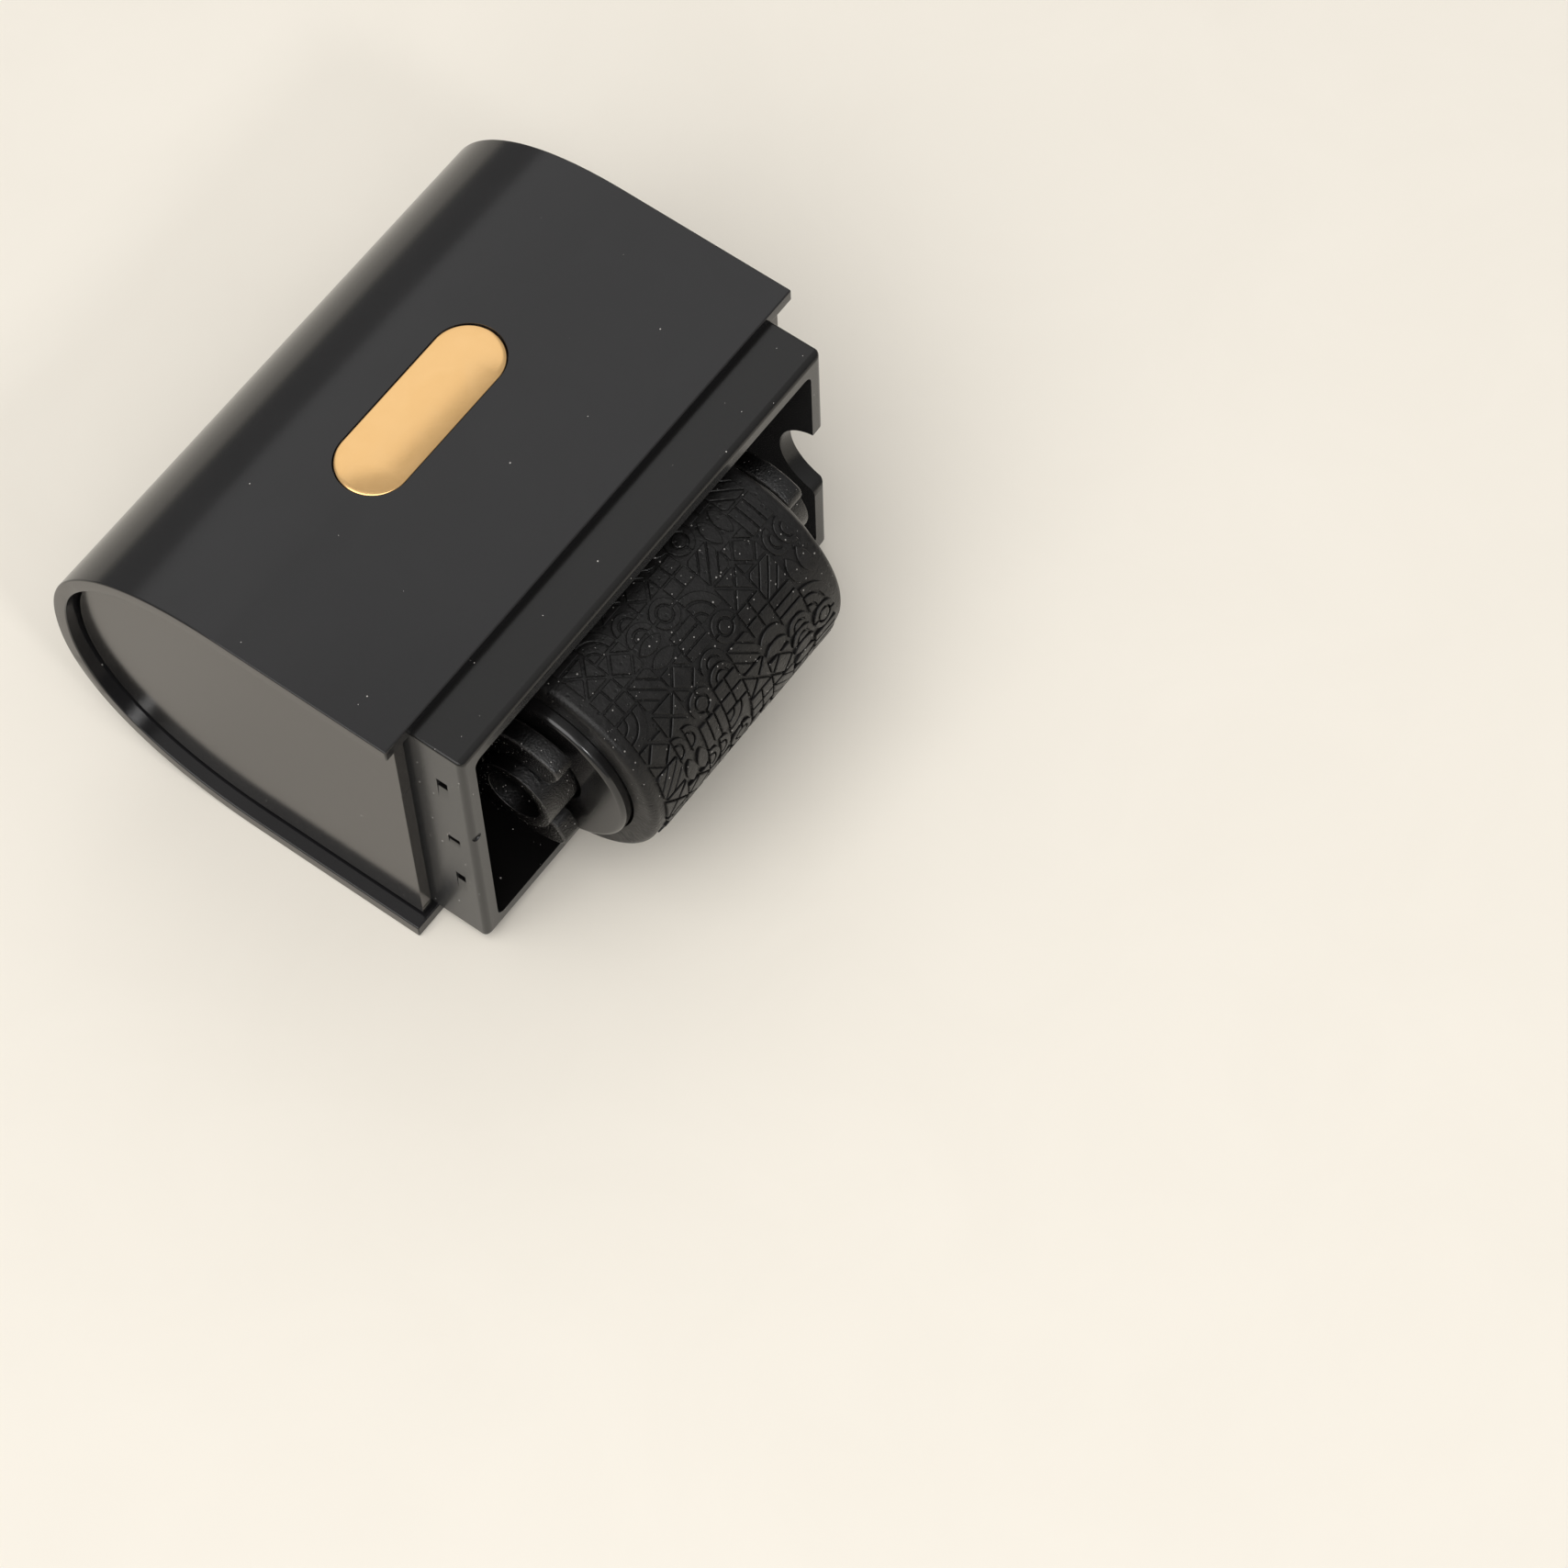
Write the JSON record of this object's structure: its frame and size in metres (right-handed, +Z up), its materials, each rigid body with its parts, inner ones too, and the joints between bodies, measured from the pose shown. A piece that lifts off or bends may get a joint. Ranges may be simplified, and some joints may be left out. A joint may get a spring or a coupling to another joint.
{
  "type": "roller stamp",
  "caption": "Hand-held privacy roller stamp: a slim sleeve with a rounded grip end and an open mouth where a rubber printing roller spins in a lift-out cartridge.",
  "frame": {"origin": "under the middle of the stamp's bounding box, on the flat face it lies on", "axes": "+X along the roller's axle, the stamp's longest size; +Y towards the rounded grip end, so the roller looks out to -Y; +Z up, out of the broad face with the inlay plate"},
  "size_m": [0.0434, 0.0424, 0.0256],
  "materials": {
    "satin_black_plastic": "satin moulded plastic",
    "satin_gold_metal": "satin gold-coloured metal",
    "inner_black_plastic": "lightly textured moulded plastic",
    "porous_black_rubber": "matt porous rubber holding ink",
    "inked_felt": "felt soaked with black ink"
  },
  "bodies": {
    "housing": {"outer_shell": "satin_black_plastic", "inlay_plate": "satin_gold_metal", "end_panel_left": "satin_black_plastic", "end_panel_right": "satin_black_plastic", "inner_housing": "satin_black_plastic"},
    "cartridge": {"cartridge_frame": "inner_black_plastic", "axle": "inner_black_plastic"},
    "roller": {"roller_core": "inner_black_plastic", "roller_hub_left": "inner_black_plastic", "roller_hub_right": "inner_black_plastic", "ink_felt": "inked_felt", "die_sleeve": "porous_black_rubber"}
  },
  "joints": [
    {"name": "cartridge_slide", "type": "slide", "parent": "housing", "child": "cartridge", "axis": [0, -1, 0], "range_m": [0, 0.018]},
    {"name": "roller_spin", "type": "hinge", "parent": "cartridge", "child": "roller", "pos_m": [0, -0.0122, 0.0128], "axis": [1, 0, 0], "continuous": true}
  ]
}
